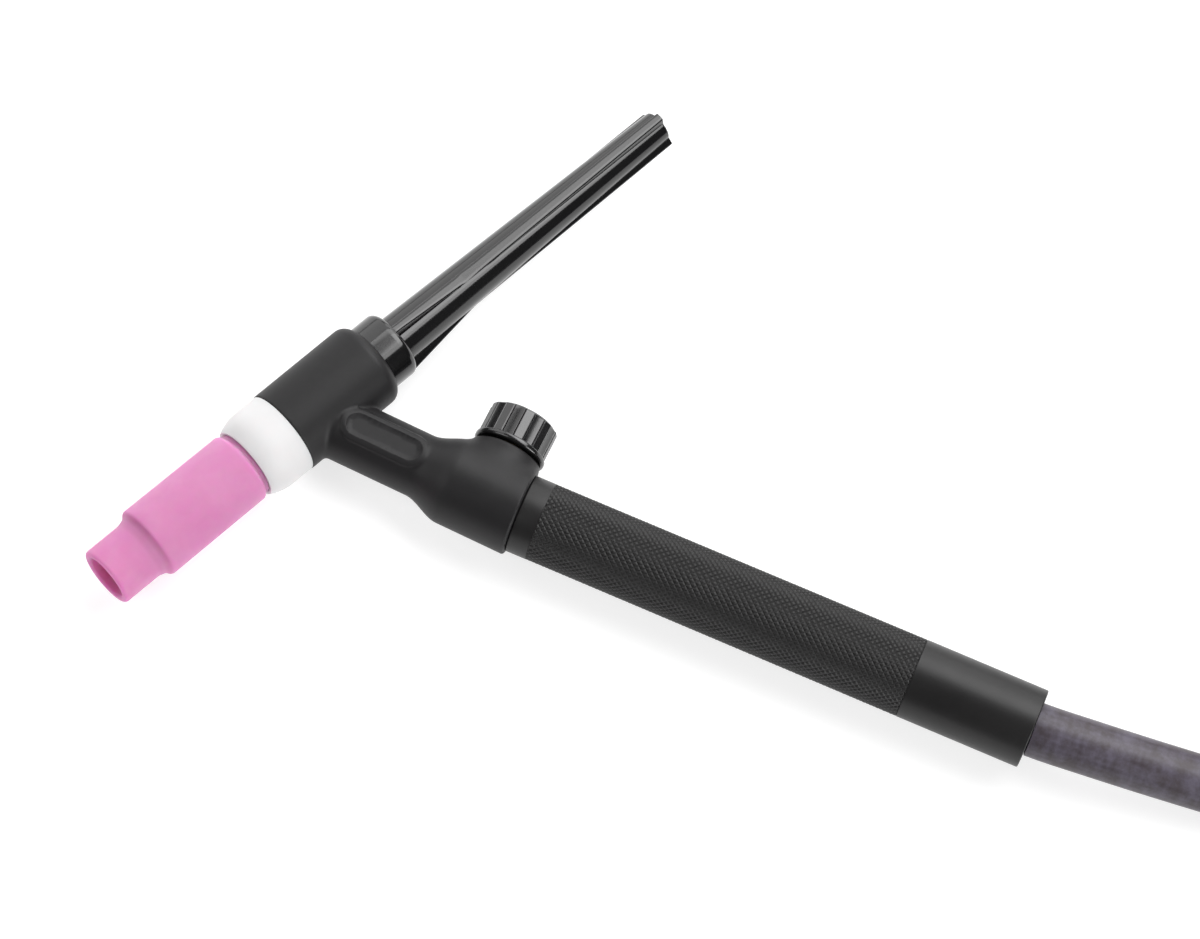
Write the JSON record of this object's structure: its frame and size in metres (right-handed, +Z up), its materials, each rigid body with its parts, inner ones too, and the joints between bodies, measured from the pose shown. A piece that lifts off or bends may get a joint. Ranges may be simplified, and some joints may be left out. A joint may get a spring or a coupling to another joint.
{
  "type": "tig torch",
  "caption": "Gas-cooled TIG welding torch with angled head, ceramic nozzle, long back cap, hand valve, knurled handle, and coiled power hose with bayonet plug.",
  "frame": {"origin": "centre of the bottom of the torch's box, lying on its side, without its hose", "axes": "+X along the handle towards the hose, +Y towards the back cap in the torch's plane, +Z up from the bench"},
  "size_m": [0.4896, 0.3259, 0.0317],
  "materials": {
    "body_rubber": "matt moulded rubber",
    "nozzle_ceramic": "smooth unglazed alumina, pink",
    "gasket_white": "matt white PTFE",
    "cap_black": "glossy moulded phenolic",
    "knob_black": "satin moulded nylon",
    "handle_black": "matt knurled phenolic",
    "hose_braid": "smooth hose cover over a braid",
    "brass": "machined",
    "copper": "machined copper",
    "tungsten": "ground",
    "steel": "plated",
    "seal": "O-ring rubber",
    "sleeve_rubber": "matt moulded rubber",
    "strap_web": "woven hook-and-loop strap"
  },
  "bodies": {
    "torch": {"torch_body": "body_rubber", "head_core": "brass", "neck_tube": "copper", "valve_block": "brass", "gland_nut": "brass", "collet_body": "copper", "gasket": "gasket_white", "handle": "handle_black", "hose_nut": "brass", "hose_nipple": "brass", "hose_ferrule": "steel", "hose_lead_in": "hose_braid", "conductor": "copper", "hose_run": "hose_braid", "hose_coil": "hose_braid", "hose_tail": "hose_braid", "plug_sleeve": "sleeve_rubber", "plug_pin": "brass", "plug_o_ring": "seal", "coil_straps": "strap_web"},
    "cap_screw": {"cap_o_ring": "seal", "collet": "copper"},
    "cap": {"back_cap": "cap_black"},
    "stem_screw": {"stem_o_ring": "seal"},
    "valve": {"valve_knob": "knob_black", "valve_stem": "brass"},
    "nozzle": {"nozzle": "nozzle_ceramic"},
    "electrode": {"electrode": "tungsten"}
  },
  "joints": [
    {"name": "cap_travel", "type": "slide", "parent": "torch", "child": "cap_screw", "axis": [0.4163, 0.9092, 0], "range_m": [0, 0.00635]},
    {"name": "cap_turn", "type": "hinge", "parent": "cap_screw", "child": "cap", "pos_m": [-0.08224, -0.02388, 0.0116], "axis": [0.4163, 0.9092, 0], "range_deg": [0, 1800]},
    {"name": "stem_travel", "type": "slide", "parent": "torch", "child": "stem_screw", "axis": [0.0454, 0.999, 0], "range_m": [0, 0.0015]},
    {"name": "valve_turn", "type": "hinge", "parent": "stem_screw", "child": "valve", "pos_m": [-0.03229, -0.02615, 0.0116], "axis": [0.0454, 0.999, 0], "range_deg": [0, 720]},
    {"name": "nozzle_off", "type": "slide", "parent": "torch", "child": "nozzle", "axis": [-0.4163, -0.9092, 0], "range_m": [0, 0.055]},
    {"name": "electrode_feed", "type": "slide", "parent": "torch", "child": "electrode", "axis": [-0.4163, -0.9092, 0], "range_m": [0, 0.02]}
  ],
  "couplings": [
    {"joint": "cap_travel", "follows": "cap_turn", "m_per_rad": 0.00020212},
    {"joint": "stem_travel", "follows": "valve_turn", "m_per_rad": 0.00011936}
  ]
}
